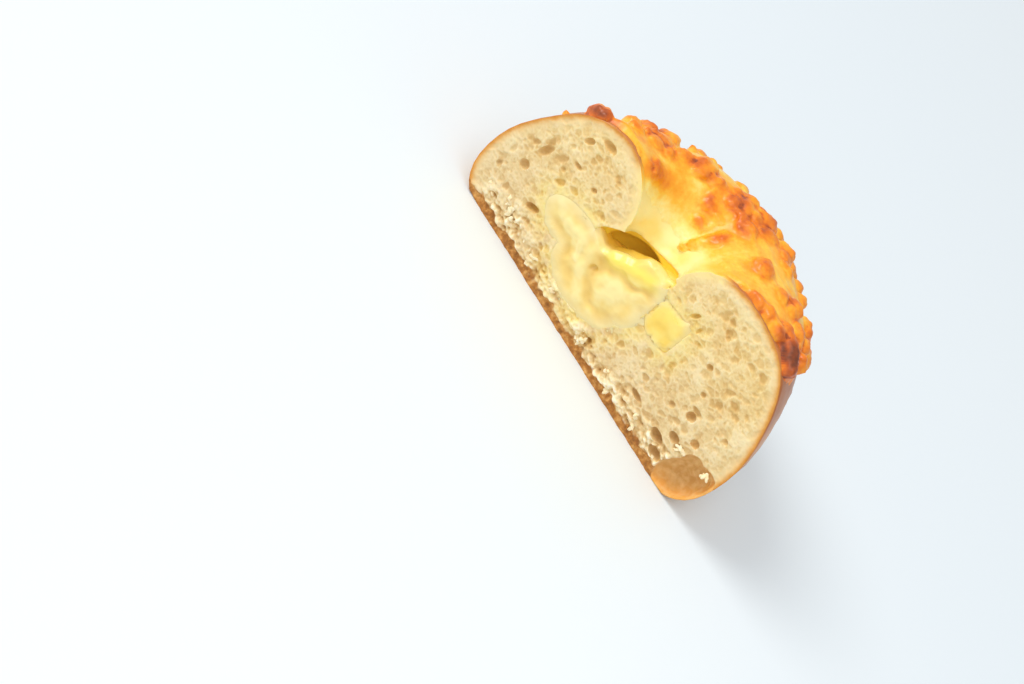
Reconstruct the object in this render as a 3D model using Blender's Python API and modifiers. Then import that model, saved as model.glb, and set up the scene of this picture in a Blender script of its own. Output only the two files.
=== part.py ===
"""Half of a baked cheese bun, as cut, standing on its flat base.

The cut face is vertical and looks along -Y. The bun is a round roll with a
dimple pressed in its top, a toasted cheese topping round the dimple, a pocket
of melted cheese under it, and one diced piece of cheese set in the crumb.
Shapes are drawn in millimetres in the cut's own coordinates (X along the cut,
Y into the bread, Z up) and scaled to metres when their meshes are made.
"""
import math
import random

import bmesh
import bpy
from mathutils import Matrix, Vector, noise

MM = 0.001

# Driving dimensions, in millimetres
DIMPLE_X = -7.5                 # axis of the dimple, measured along the cut
FIT_GAP = 0.3                   # clearance between neighbouring pieces
DOUGH_WAVE = 0.45               # soft unevenness of the baked dough
DOUGH_WAVE_SIZE = 15.0
DOUGH_WAVE_FROM = 12.0          # height over which it grows from nothing at the base
SHEET_LIFT = 0.45               # underside of the cheese sheet above the dough
SHEET_THICKNESS = 0.9
SHEET_EDGE = 0.3                # share of the thickness left at the sheet's edges
SHEET_LOW = 8.15                # station of the sheet's lower edge, on the outer slope
SHEET_HIGH = 11.9               # station of its upper edge at the cut, inside the dimple
SHEET_DEEP = 1.35               # how much further it goes down the back of the dimple
LEFT_DRIP = 0.75                # how much further it hangs down the left end of the cut
KNIFE_SIZE = 200.0

# Bun profiles as (distance from the dimple's axis, height), from the middle of
# the base, round the side and over the rim to the floor of the dimple
PROFILE_RIGHT = [
    (0, 0), (25, 0), (48.5, 0), (53.2, 2.2), (55.9, 7), (56.6, 14), (55.6, 22.5), (52.6, 31),
    (47.6, 40), (41.5, 46.6), (33.5, 49.7), (22.5, 50), (14.2, 46.4), (10.2, 40), (9.2, 35), (0, 28.5)]
PROFILE_BACK = [
    (0, 0), (22, 0), (41.5, 0), (46.3, 2.4), (49.2, 7.5), (50, 14.5), (48.8, 22.5), (45.4, 31),
    (40.4, 39.2), (33.8, 44.6), (27.4, 47.2), (21.5, 46.6), (16.5, 42.5), (11.8, 36), (7.6, 30.5), (0, 28.5)]
PROFILE_LEFT = [
    (0, 0), (19, 0), (34.5, 0), (39.2, 2.6), (41.9, 8), (43, 16), (42, 24), (38.4, 32.5),
    (34.2, 39.6), (28.5, 44.4), (21.5, 45.9), (16, 44.4), (11.2, 40.5), (7.6, 35), (6, 30.5), (0, 28.5)]
LAST_STATION = len(PROFILE_BACK) - 1
FLAT_SHOULDER = (2.45, 0.42, 0.055)   # azimuth, spread and depth of the flatter back left shoulder

# Melted filling: (centre, half sizes, squareness, tilt in degrees), where a
# squareness of 1 is an ellipsoid and less is boxier
FILLING_LOBES = {
    "pool": ((-9.0, 0.0, 15.5), (12.0, 16.0, 8.5), 0.95, 0.0),
    "slope": ((-4.6, 0.0, 23.2), (8.0, 8.5, 5.2), 1.0, 35.0),
    "bulge": ((-0.8, 0.0, 25.4), (5.7, 7.0, 7.5), 0.85, 0.0),
    "heel": ((1.0, 0.0, 19.3), (4.4, 6.0, 4.6), 1.0, 0.0),
    "tongue": ((-21.0, 0.0, 19.3), (9.7, 11.0, 5.2), 0.95, 3.0)}

# Air above the filling: (centre, half sizes, tilt of the long axis in degrees)
CAVITIES = {
    "mouth": ((-7.5, 0.0, 29.8), (12.2, 8.5, 4.6), 27.6),
    "throat": ((-7.0, 5.5, 25.6), (9.5, 9.5, 4.6), 12.0)}

# The diced cheese in the crumb
CUBE_CENTRE = (10.0, 0.0, 26.6)
CUBE_SIZE = (9.4, 14.0, 9.5)
CUBE_TURN = 5.0
CUBE_BEVEL = 0.8
CUBE_CHAMFER = 2.6

# Large bubble at the foot of the right side: (centre, half sizes, tilt)
SIDE_BUBBLE = {
    "belly": ((42.4, 0.0, 6.6), (5.0, 4.6, 4.9), -18.0),
    "neck": ((41.8, 0.0, 11.0), (3.4, 3.4, 4.0), 10.0)}

# Crumb holes that show on the cut: (x, z, half width, half height, tilt, depth)
CRUMB_HOLES = [
    (31.5, 19.2, 1.5, 1.4, 0, 1.6), (26.5, 16.5, 1.1, 1.0, 0, 1.2), (33.5, 12.0, 1.9, 1.3, -8, 1.8),
    (31.0, 8.0, 2.6, 1.4, -14, 2.2), (34.0, 4.8, 2.5, 1.2, -10, 2.0), (24.0, 31.0, 1.1, 1.0, 0, 1.2),
    (20.5, 39.5, 0.9, 0.8, 0, 1.0), (37.5, 16.0, 1.4, 1.2, 10, 1.4), (40.8, 23.5, 1.0, 0.8, 0, 1.0),
    (12.0, 35.2, 0.7, 1.7, -28, 1.4), (15.4, 33.8, 0.6, 1.3, 0, 1.2), (20.0, 9.4, 2.2, 0.9, -6, 1.6),
    (-32.0, 40.5, 2.3, 1.2, 6, 1.3), (-36.0, 36.6, 1.0, 1.7, -35, 1.2), (-33.0, 30.2, 1.5, 0.7, 0, 1.0),
    (-26.0, 30.2, 1.0, 0.8, 20, 1.1), (-40.5, 25.0, 1.2, 2.8, -16, 1.4), (-41.0, 17.8, 1.5, 1.5, 0, 1.3),
    (-34.4, 26.2, 0.9, 0.8, 0, 1.0), (-31.4, 12.9, 2.2, 1.1, 22, 1.9), (-45.0, 12.0, 0.9, 1.1, 0, 1.0),
    (18.6, 22.6, 1.0, 0.6, 20, 1.0), (28.6, 25.4, 0.9, 0.8, 0, 1.0), (-24.0, 37.0, 1.0, 0.7, 0, 0.9)]

# Cheese lumps that show round the dimple:
# (azimuth in degrees, station, half width round, half width up the profile, height)
SHOWN_LUMPS = [
    (175.5, 8.35, 2.5, 4.0, 2.6), (176.5, 7.2, 1.5, 1.8, 1.4), (141, 9.2, 4.2, 3.2, 2.5),
    (138, 9.9, 1.6, 1.8, 2.2), (127, 9.9, 2.8, 2.2, 2.1), (113, 10.05, 3.8, 3.4, 3.0),
    (101, 10.5, 1.9, 2.0, 1.9), (91, 10.1, 1.7, 1.7, 1.8), (84, 9.9, 3.2, 3.0, 2.4),
    (73, 9.8, 3.8, 3.2, 2.9), (64, 10.25, 2.3, 2.4, 2.2), (67.5, 11.05, 3.0, 2.6, 2.2),
    (100, 11.2, 1.2, 2.6, 1.5), (93.5, 11.7, 2.8, 1.2, 1.5), (83, 11.75, 3.0, 1.2, 1.4),
    (89, 12.3, 1.9, 1.9, 1.3), (63, 11.95, 1.8, 2.6, 1.8), (64.5, 12.35, 1.7, 2.6, 1.8),
    (67.5, 12.75, 1.6, 2.6, 1.7), (72, 13.2, 1.4, 2.2, 1.4), (35, 11.0, 3.6, 3.2, 3.0),
    (59, 9.4, 3.3, 2.8, 3.1), (47, 9.95, 2.3, 1.9, 1.8), (62, 10.0, 1.4, 1.4, 1.7),
    (27, 9.85, 3.0, 2.4, 2.7), (23.5, 10.4, 2.2, 1.8, 2.0), (17.5, 9.5, 3.4, 3.2, 2.7),
    (20.5, 8.95, 2.8, 2.6, 2.5), (8.5, 9.85, 2.6, 3.2, 2.6), (6, 9.45, 2.8, 3.8, 3.2),
    (13, 8.85, 2.6, 2.6, 3.0), (4.2, 9.1, 2.8, 3.0, 3.0), (5, 10.8, 1.9, 3.6, 2.0),
    (5.5, 10.45, 2.4, 3.4, 2.4), (4, 10.1, 2.3, 3.4, 2.5), (4.5, 11.3, 1.3, 2.6, 1.4),
    (155, 11.0, 3.0, 3.2, 1.5), (174, 9.3, 1.7, 3.6, 1.5), (175, 10.2, 1.3, 3.2, 1.3)]
LUMP_SEAT = 0.95                # height of a lump's widest level, inside the sheet
LUMP_ROOT = 0.35                # how far a lump goes on below it
LUMP_ROUGHNESS = 0.26           # how far a lump departs from an ellipsoid
SPARE_LUMPS = 30                # further lumps on the outer slope, away from the cut's view
SPARE_AZIMUTHS = (12.0, 166.0)
SPARE_STATIONS = (7.7, 9.5)
LUMP_SPACING = 5.6


def profile_station(azimuth, index):
    """One control point of the bun's profile at this azimuth."""
    index = min(max(index, -1), LAST_STATION + 1)
    mirrored = index < 0 or index > LAST_STATION
    if index < 0:
        index = 1
    if index > LAST_STATION:
        index = LAST_STATION - 1
    right, back, left = (Vector(p[index]) for p in (PROFILE_RIGHT, PROFILE_BACK, PROFILE_LEFT))
    across = math.cos(azimuth)
    point = back + (right - left) / 2 * across + ((right + left) / 2 - back) * across ** 2
    centre, spread, depth = FLAT_SHOULDER
    fade = min(max((index - 4) / 3, 0), 1) * min(max((LAST_STATION - 2 - index) / 3, 0), 1)
    point *= 1 - depth * fade * math.exp(-((abs(azimuth) - centre) / spread) ** 2)
    return Vector((-point.x, point.y)) if mirrored else point


def bun_point(azimuth, station):
    """Point on the smooth bun, in millimetres, by a Catmull-Rom curve up the profile."""
    index = min(int(station), LAST_STATION - 1)
    t = station - index
    p0, p1, p2, p3 = (profile_station(azimuth, index + k) for k in (-1, 0, 1, 2))
    point = 0.5 * (2 * p1 + (p2 - p0) * t + (2 * p0 - 5 * p1 + 4 * p2 - p3) * t ** 2
                   + (3 * p1 - p0 - 3 * p2 + p3) * t ** 3)
    radius, height = point.x, max(point.y, 0.0)
    return Vector((DIMPLE_X + radius * math.cos(azimuth), radius * math.sin(azimuth), height))


def bun_normal(azimuth, station):
    """Outward direction of the bun's skin."""
    step = 0.01
    station = min(max(station, step), LAST_STATION - step)
    around = bun_point(azimuth + step, station) - bun_point(azimuth - step, station)
    along = bun_point(azimuth, station + step) - bun_point(azimuth, station - step)
    return around.cross(along).normalized()


def on_bun(azimuth, station, lift=0.0):
    """Point on the uneven baked skin, raised by lift."""
    point = bun_point(azimuth, station)
    grown_in = min(point.z / DOUGH_WAVE_FROM, 1.0)
    place = Vector((point.x, abs(point.y), point.z)) / DOUGH_WAVE_SIZE
    wave = DOUGH_WAVE * grown_in * noise.noise(place)
    return point + bun_normal(azimuth, station) * (wave + lift)


def new_object(name, bm, collection):
    """Object from a bmesh drawn in millimetres, scaled to metres."""
    bmesh.ops.scale(bm, vec=(MM, MM, MM), verts=bm.verts)
    bmesh.ops.recalc_face_normals(bm, faces=bm.faces)
    mesh = bpy.data.meshes.new(name)
    bm.to_mesh(mesh)
    bm.free()
    obj = bpy.data.objects.new(name, mesh)
    collection.objects.link(obj)
    return obj


def make_cutter(name, bm, collection):
    cutter = new_object(name, bm, collection)
    cutter.hide_render = True
    cutter.display_type = "WIRE"
    return cutter


def add_boolean(obj, tool, operation):
    """Boolean with one object, or with all the objects of a collection."""
    boolean = obj.modifiers.new(operation.title(), "BOOLEAN")
    boolean.operation = operation
    boolean.solver = "EXACT"
    if isinstance(tool, bpy.types.Collection):
        boolean.operand_type = "COLLECTION"
        boolean.collection = tool
    else:
        boolean.object = tool
    return boolean


def apply_modifiers(obj):
    """Replace the object's mesh by its evaluated one."""
    bpy.context.view_layer.update()
    graph = bpy.context.evaluated_depsgraph_get()
    mesh = bpy.data.meshes.new_from_object(obj.evaluated_get(graph))
    obj.modifiers.clear()
    obj.data = mesh


def remove_objects(collection):
    for obj in list(collection.objects):
        bpy.data.objects.remove(obj, do_unlink=True)
    bpy.data.collections.remove(collection)


def blob(centre, half, squareness=1.0, tilt=0.0, detail=3):
    """Ellipsoid, boxier for a lower squareness, tilted in the plane of the cut."""
    bm = bmesh.new()
    bmesh.ops.create_icosphere(bm, subdivisions=detail, radius=1.0)
    turn = Matrix.Rotation(math.radians(-tilt), 3, "Y")
    for vert in bm.verts:
        shaped = [math.copysign(abs(c) ** squareness, c) * size for c, size in zip(vert.co, half)]
        vert.co = turn @ Vector(shaped) + Vector(centre)
    return bm


def grown(half, gap):
    return tuple(size + gap for size in half)


def material(name, colour, roughness):
    mat = bpy.data.materials.new(name)
    mat.use_nodes = True
    shader = mat.node_tree.nodes["Principled BSDF"]
    shader.inputs["Base Color"].default_value = (*colour, 1.0)
    shader.inputs["Roughness"].default_value = roughness
    shader.inputs["Metallic"].default_value = 0.0
    mat.diffuse_color = (*colour, 1.0)
    return mat


def finish(obj, mat, smooth_angle):
    obj.data.materials.clear()
    obj.data.materials.append(mat)
    obj.data.shade_smooth()
    obj.data.set_sharp_from_angle(angle=math.radians(smooth_angle))


def make_knife(collection):
    """Block whose front face is the cut; everything behind it is kept."""
    bm = bmesh.new()
    bmesh.ops.create_cube(bm, size=KNIFE_SIZE)
    bmesh.ops.translate(bm, vec=(0, KNIFE_SIZE / 2, 0), verts=bm.verts)
    return make_cutter("knife", bm, collection)


def make_niche(collection):
    """Square hollow in the crumb that the diced cheese sits in."""
    bm = bmesh.new()
    bmesh.ops.create_cube(bm, size=1.0)
    size = grown(CUBE_SIZE, 2 * FIT_GAP)
    bmesh.ops.scale(bm, vec=size, verts=bm.verts)
    bmesh.ops.rotate(bm, matrix=Matrix.Rotation(math.radians(-CUBE_TURN), 3, "Y"), verts=bm.verts)
    bmesh.ops.translate(bm, vec=CUBE_CENTRE, verts=bm.verts)
    return make_cutter("cut_niche", bm, collection)


def make_bread(food, cutters, knife):
    """Dough with its dimple, cut in half, hollowed for the cheese, with its crumb holes."""
    bm = bmesh.new()
    bmesh.ops.create_uvsphere(bm, u_segments=64, v_segments=33, radius=1.0)
    for vert in bm.verts:
        station = LAST_STATION * math.acos(min(max(-vert.co.z, -1), 1)) / math.pi
        vert.co = on_bun(math.atan2(vert.co.y, vert.co.x), station)
    bread = new_object("bread", bm, food)
    add_boolean(bread, knife, "INTERSECT")

    for name, (centre, half, squareness, tilt) in FILLING_LOBES.items():
        make_cutter("cut_" + name, blob(centre, grown(half, FIT_GAP), squareness, tilt), cutters)
    for name, (centre, half, tilt) in {**CAVITIES, **SIDE_BUBBLE}.items():
        make_cutter("cut_" + name, blob(centre, half, 1.0, tilt), cutters)
    for number, (x, z, wide, high, tilt, depth) in enumerate(CRUMB_HOLES):
        hole = blob((x, 0.0, z), (wide, depth, high), 1.0, tilt, detail=2)
        make_cutter(f"cut_crumb_{number:02d}", hole, cutters)
    make_niche(cutters)
    for cutter in list(cutters.objects):
        if cutter is not knife:
            add_boolean(bread, cutter, "DIFFERENCE")
    apply_modifiers(bread)
    return bread


def make_filling(food, knife):
    """Melted cheese that fills the pocket and shows at the cut."""
    scraps = bpy.data.collections.new("filling_lobes")
    bpy.context.scene.collection.children.link(scraps)
    lobes = dict(FILLING_LOBES)
    filling = new_object("cheese_filling", blob(*lobes.pop("pool")), food)
    for name, shape in lobes.items():
        new_object("lobe_" + name, blob(*shape), scraps)
    add_boolean(filling, scraps, "UNION")
    add_boolean(filling, knife, "INTERSECT")
    apply_modifiers(filling)
    remove_objects(scraps)
    return filling


def make_cube(food, knife):
    """Diced cheese with soft edges and one corner sliced off, cut through with the bun."""
    bm = bmesh.new()
    bmesh.ops.create_cube(bm, size=1.0)
    bmesh.ops.scale(bm, vec=CUBE_SIZE, verts=bm.verts)
    corner = Vector((-CUBE_SIZE[0] / 2 + CUBE_CHAMFER, 0.0, -CUBE_SIZE[2] / 2))
    geometry = bm.verts[:] + bm.edges[:] + bm.faces[:]
    cut = bmesh.ops.bisect_plane(bm, geom=geometry, plane_co=corner, plane_no=(-1, 0, -1), clear_outer=True)
    open_edges = [edge for edge in cut["geom_cut"] if isinstance(edge, bmesh.types.BMEdge)]
    bmesh.ops.holes_fill(bm, edges=open_edges)
    bmesh.ops.bevel(bm, geom=bm.edges[:], offset=CUBE_BEVEL, segments=3, profile=0.5, material=-1, affect="EDGES")
    bmesh.ops.rotate(bm, matrix=Matrix.Rotation(math.radians(-CUBE_TURN), 3, "Y"), verts=bm.verts)
    bmesh.ops.translate(bm, vec=CUBE_CENTRE, verts=bm.verts)
    cube = new_object("cheese_cube", bm, food)
    add_boolean(cube, knife, "INTERSECT")
    apply_modifiers(cube)
    return cube


def sheet_edges(azimuth):
    """Lower and upper station of the cheese sheet, both wavy."""
    low_wave = 0.35 * math.sin(9 * azimuth + 0.6) + 0.25 * math.sin(17 * azimuth + 2.0)
    high_wave = 0.1 * math.sin(13 * azimuth + 1.0)
    drip = LEFT_DRIP * math.exp(-((azimuth - math.pi) / 0.10) ** 2)
    return SHEET_LOW + low_wave - drip, SHEET_HIGH + high_wave + SHEET_DEEP * math.sin(azimuth)


def make_sheet(food, knife):
    """Thin toasted cheese that drapes over the rim of the dimple, thinner at its edges."""
    rounds, rows = 56, 10
    bm = bmesh.new()
    bmesh.ops.create_grid(bm, x_segments=rounds, y_segments=rows, size=0.5)
    weights = []
    for vert in bm.verts:
        azimuth = math.radians(-4 + 188 * (vert.co.x + 0.5))
        share = vert.co.y + 0.5
        lower, upper = sheet_edges(azimuth)
        weights.append(min(1.0, SHEET_EDGE + 3.0 * min(share, 1 - share)))
        vert.co = on_bun(azimuth, lower + (upper - lower) * share, SHEET_LIFT)
    sheet = new_object("cheese_topping", bm, food)
    group = sheet.vertex_groups.new(name="thickness")
    for index, weight in enumerate(weights):
        group.add([index], weight, "REPLACE")
    solidify = sheet.modifiers.new("Solidify", "SOLIDIFY")
    solidify.thickness = SHEET_THICKNESS * MM
    solidify.offset = 1.0
    solidify.vertex_group = group.name
    add_boolean(sheet, knife, "INTERSECT")
    apply_modifiers(sheet)
    return sheet


def lump(azimuth, station, half_round, half_up, height):
    """Rounded cheese lump that follows the bun's skin and is rooted in the sheet."""
    here = bun_point(azimuth, station)
    per_radian = (bun_point(azimuth + 0.01, station) - here).length / 0.01
    per_station = (bun_point(azimuth, station + 0.01) - here).length / 0.01
    bm = bmesh.new()
    bmesh.ops.create_icosphere(bm, subdivisions=2, radius=1.0)
    tilt = Matrix.Rotation(azimuth * 7 + station * 3, 3, "Z")
    bmesh.ops.rotate(bm, matrix=tilt, verts=bm.verts)
    for vert in bm.verts:
        uneven = 1 + LUMP_ROUGHNESS * noise.noise(vert.co * 1.4 + here)
        where = azimuth + vert.co.x * uneven * half_round / per_radian
        level = station + vert.co.y * uneven * half_up / per_station
        rise = (height - SHEET_LIFT) * uneven if vert.co.z > 0 else LUMP_ROOT
        lift = LUMP_SEAT + rise * vert.co.z
        vert.co = on_bun(where, level, lift)
    return bm


def spare_lumps():
    """Further lumps on the outer slope, spread evenly by dropping those that come too close."""
    rng = random.Random(11)
    kept = []
    tries = 0
    while len(kept) < SPARE_LUMPS and tries < 4000:
        tries += 1
        azimuth = rng.uniform(*SPARE_AZIMUTHS)
        station = rng.uniform(*SPARE_STATIONS)
        if station < sheet_edges(math.radians(azimuth))[0] + 0.15:
            continue
        here = bun_point(math.radians(azimuth), station)
        others = kept + SHOWN_LUMPS
        if all((here - bun_point(math.radians(o[0]), o[1])).length > LUMP_SPACING for o in others):
            size = rng.uniform(1.5, 3.6)
            kept.append((azimuth, station, size, size * rng.uniform(0.75, 1.2), 0.9 + 0.55 * size))
    return kept


def make_topping(food, knife):
    """The sheet with every lump fused on."""
    topping = make_sheet(food, knife)
    lumps = bpy.data.collections.new("lumps")
    bpy.context.scene.collection.children.link(lumps)
    for number, (azimuth, station, wide, tall, height) in enumerate(SHOWN_LUMPS + spare_lumps()):
        bm = lump(math.radians(azimuth), station, wide, tall, height)
        new_object(f"lump_{number:02d}", bm, lumps)
    add_boolean(topping, lumps, "UNION")
    apply_modifiers(topping)
    remove_objects(lumps)
    return topping


def stand_on_origin(objects):
    """Parent the pieces to an empty that puts the middle of their base at the origin."""
    corners = [obj.matrix_world @ vert.co for obj in objects for vert in obj.data.vertices]
    middle = [(min(c[axis] for c in corners) + max(c[axis] for c in corners)) / 2 for axis in (0, 1)]
    ground = min(c.z for c in corners)
    stand = bpy.data.objects.new("stand", None)
    bpy.context.scene.collection.objects.link(stand)
    stand.location = (-middle[0], -middle[1], -ground)
    for obj in objects:
        obj.parent = stand
    bpy.context.view_layer.update()


def main():
    for obj in list(bpy.data.objects):
        bpy.data.objects.remove(obj, do_unlink=True)
    food = bpy.data.collections.new("cheese_bread")
    cutters = bpy.data.collections.new("cutters")
    for collection in (food, cutters):
        bpy.context.scene.collection.children.link(collection)

    knife = make_knife(cutters)
    bread = make_bread(food, cutters, knife)
    filling = make_filling(food, knife)
    cube = make_cube(food, knife)
    topping = make_topping(food, knife)

    finish(bread, material("baked_dough", (0.72, 0.50, 0.24), 0.75), 40)
    finish(filling, material("melted_cheese", (0.90, 0.66, 0.16), 0.35), 60)
    finish(cube, material("diced_cheese", (0.93, 0.70, 0.20), 0.4), 40)
    finish(topping, material("toasted_cheese", (0.72, 0.27, 0.03), 0.4), 60)
    stand_on_origin([bread, filling, cube, topping])


main()
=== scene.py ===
# %% [markdown]
# # Half a cheese bread roll
# The real thing is a soft wheat roll baked with diced cheese inside and grated
# cheese on top, then cut through the middle. Four materials meet here: open
# crumb, thin golden crust, melted filling and toasted topping. The solids of
# the part give the true sizes, so each finished piece starts from a copy of its
# solid, gets a finer mesh, and is then shaped by seeded noise.

# %% Load the fixed frame
import math

import bmesh
import bpy
import numpy as np
from mathutils import Matrix, Vector, noise
from mathutils.bvhtree import BVHTree
from mathutils.kdtree import KDTree


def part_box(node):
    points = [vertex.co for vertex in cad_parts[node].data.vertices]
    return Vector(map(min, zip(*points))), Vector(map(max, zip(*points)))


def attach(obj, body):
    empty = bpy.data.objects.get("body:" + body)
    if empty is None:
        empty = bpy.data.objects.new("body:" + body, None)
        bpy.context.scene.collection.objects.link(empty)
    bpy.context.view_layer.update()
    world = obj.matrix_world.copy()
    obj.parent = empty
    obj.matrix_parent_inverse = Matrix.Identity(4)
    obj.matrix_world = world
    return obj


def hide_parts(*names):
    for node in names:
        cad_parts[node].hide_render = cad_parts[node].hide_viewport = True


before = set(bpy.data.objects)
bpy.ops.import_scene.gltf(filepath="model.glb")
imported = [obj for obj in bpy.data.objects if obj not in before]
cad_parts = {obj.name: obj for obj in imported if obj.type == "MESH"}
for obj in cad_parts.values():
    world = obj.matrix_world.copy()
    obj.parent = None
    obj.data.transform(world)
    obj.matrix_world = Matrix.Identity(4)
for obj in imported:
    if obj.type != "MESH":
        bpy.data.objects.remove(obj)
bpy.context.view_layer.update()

MM = 0.001

# %% [markdown]
# ## Places on the cut
# Everything on the cut face is easiest to name as millimetres along the cut and
# millimetres above the board, as one would measure it with a ruler. The plane of
# the knife is the bread's lowest Y, and the ruler's zero is the middle of the
# cut's foot, so both are read from the bread's own box.

# %% Ruler on the cut face
bread_low = Vector(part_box("bread")[0])
LEFT_REACH = 50.35                       # from the ruler's zero to the roll's left side
RULER_X = bread_low.x / MM + LEFT_REACH
CUT_Y = bread_low.y / MM
DIMPLE_X = -7.5                          # axis of the dimple on the ruler


def on_ruler(points):
    """Points in metres as (along the cut, into the bread, up) in millimetres."""
    return np.asarray(points, dtype=float) / MM - np.array([RULER_X, CUT_Y, 0.0])


def off_ruler(points):
    return (np.asarray(points, dtype=float) + np.array([RULER_X, CUT_Y, 0.0])) * MM


print("cut plane at y =", round(CUT_Y, 3), "mm")

# %% [markdown]
# ## Small helpers for meshes
# A copied solid is loose triangles, so its doubles are merged before anything
# else. Points go to numpy and back in one call each, which keeps a mesh of a
# hundred thousand points quick to shape. An attribute painted on the points is
# how a shape tells its material what it is, such as how deep a pore goes.

# %% Mesh helpers
def merged_copy(node):
    bm = bmesh.new()
    bm.from_mesh(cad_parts[node].data)
    bmesh.ops.remove_doubles(bm, verts=bm.verts, dist=1e-7)
    return bm


def new_piece(name, bm):
    mesh = bpy.data.meshes.new(name)
    bm.to_mesh(mesh)
    bm.free()
    piece = bpy.data.objects.new(name, mesh)
    bpy.context.scene.collection.objects.link(piece)
    return piece


def apply_modifiers(piece):
    graph = bpy.context.evaluated_depsgraph_get()
    mesh = bpy.data.meshes.new_from_object(piece.evaluated_get(graph))
    piece.modifiers.clear()
    before, piece.data = piece.data, mesh
    bpy.data.meshes.remove(before)
    mesh.name = piece.name


def read(mesh, what):
    values = np.empty(len(mesh.vertices) * 3, dtype=np.float32)
    mesh.vertices.foreach_get(what, values)
    return values.reshape(-1, 3).astype(float)


def write_points(mesh, points):
    mesh.vertices.foreach_set("co", np.asarray(points, dtype=np.float32).ravel())
    mesh.update()


def paint(mesh, **attributes):
    for name, values in attributes.items():
        layer = mesh.attributes.new(name, "FLOAT", "POINT")
        layer.data.foreach_set("value", np.asarray(values, dtype=np.float32))


def smooth_step(values, start, end):
    t = np.clip((values - start) / (end - start), 0.0, 1.0)
    return t * t * (3 - 2 * t)


def grain(points, size, octaves=3, seed=0.0):
    """Fractal noise from about -1 to 1 at each point, its largest cells of that size in mm."""
    shift = Vector((seed, seed * 1.7, -seed))
    return np.array([noise.fractal(Vector(p) / size + shift, 1.0, 2.0, octaves) for p in points])


def distance_to(tree, points):
    """Distance in millimetres from points in metres to the nearest face of a tree."""
    return np.array([tree.find_nearest(Vector(p))[3] / MM for p in points])


def distance_to_path(points, path):
    """Distance of each point from a path of straight stretches, in as many dimensions as it has."""
    nearest = np.full(len(points), 1e9)
    for start, end in zip(np.array(path[:-1]), np.array(path[1:])):
        run = end - start
        t = np.clip((points - start) @ run / (run @ run), 0.0, 1.0)
        nearest = np.minimum(nearest, np.linalg.norm(points - start - t[:, None] * run, axis=1))
    return nearest


def relax(bm, verts, rounds):
    axes = {"use_axis_x": True, "use_axis_y": True, "use_axis_z": True}
    for _ in range(rounds):
        bmesh.ops.smooth_vert(bm, verts=verts, factor=0.5, **axes)


def soften(mesh, rounds, chosen=None):
    """Smooth a mesh, or only the points of the given indices."""
    bm = bmesh.new()
    bm.from_mesh(mesh)
    bm.verts.ensure_lookup_table()
    relax(bm, bm.verts if chosen is None else [bm.verts[index] for index in chosen], rounds)
    bm.to_mesh(mesh)
    bm.free()


def spread_from_top(bm, may_cross):
    """Faces reached from the highest one, over the edges that may be crossed."""
    front = [max(bm.faces, key=lambda face: face.calc_center_median().z)]
    reached = set(front)
    while front:
        for edge in front.pop().edges:
            fresh = set(edge.link_faces) - reached
            if fresh and may_cross(edge):
                reached |= fresh
                front.extend(fresh)
    return reached


def remeshed(name, bm, voxel, rounds):
    """Piece skinned anew with even quads, no specks left inside, its steps smoothed away."""
    piece = new_piece(name, bm)
    remesh = piece.modifiers.new("Skin", "REMESH")
    remesh.mode = "VOXEL"
    remesh.voxel_size = voxel * MM
    apply_modifiers(piece)
    bm = bmesh.new()
    bm.from_mesh(piece.data)
    specks = set(bm.faces) - spread_from_top(bm, lambda edge: True)
    bmesh.ops.delete(bm, geom=list(specks), context="FACES")
    relax(bm, bm.verts, rounds)
    bm.to_mesh(piece.data)
    bm.free()
    return piece


tried = grain(np.linspace(-50.0, 50.0, 300).reshape(-1, 3), 5.0)
print("grain runs from", round(float(tried.min()), 2), "to", round(float(tried.max()), 2))

# %% [markdown]
# ## The skin of the roll
# Crust colour depends on how near a point is to the outside of the roll. The
# outside is found on the bread's solid by spreading from its highest face over
# every edge that isn't sharp: the knife's edge and the rims of the holes stop it.
# A tree of those faces then answers how far any point is from the crust.

# %% Find the crust
SHARP = math.radians(42)


def crust_tree():
    bm = merged_copy("bread")
    bm.faces.ensure_lookup_table()
    bm.normal_update()
    outside = spread_from_top(bm, lambda edge: edge.calc_face_angle(math.pi) <= SHARP)
    rest = [face for face in bm.faces if face not in outside]
    print("crust has", len(outside), "of", len(bm.faces), "faces")
    bmesh.ops.delete(bm, geom=rest, context="FACES")
    tree = BVHTree.FromBMesh(bm)
    bm.free()
    return tree


crust = crust_tree()


def solid_tree(*nodes):
    bm = bmesh.new()
    for node in nodes:
        bm.from_mesh(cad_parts[node].data)
    tree = BVHTree.FromBMesh(bm)
    bm.free()
    return tree


cheese = solid_tree("cheese_filling", "cheese_cube")
dough = solid_tree("bread")

# %% [markdown]
# ## Cutting the crumb
# The cut needs far more points than the crust. A knife whose front face is a
# dense grid gives them: cut with a Boolean, the bread takes over the grid just
# where it is cut, and stays one closed body with no seam. Where the knife meets
# the crust it can leave points that coincide and many-sided faces, so those are
# merged and divided afterwards.

# %% Slice the bread with a dense knife
GRID = 0.235                             # spacing of points on the cut, in mm
SHAVE = 0.03                             # what the knife takes off the solid's face
KNIFE_HALF = (52.0, 27.0)                # half its length and height
KNIFE_MIDDLE = 25.6                      # height of its middle over the board
KNIFE_DEEP = 6.0                         # how far it reaches out of the cut, past the solid's face
LONG_IN_HOLES, LONG_ON_SKIN = 0.8, 1.6   # edges longer than this are divided first
SAME_POINT = 0.001                       # points nearer than this are one


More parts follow.
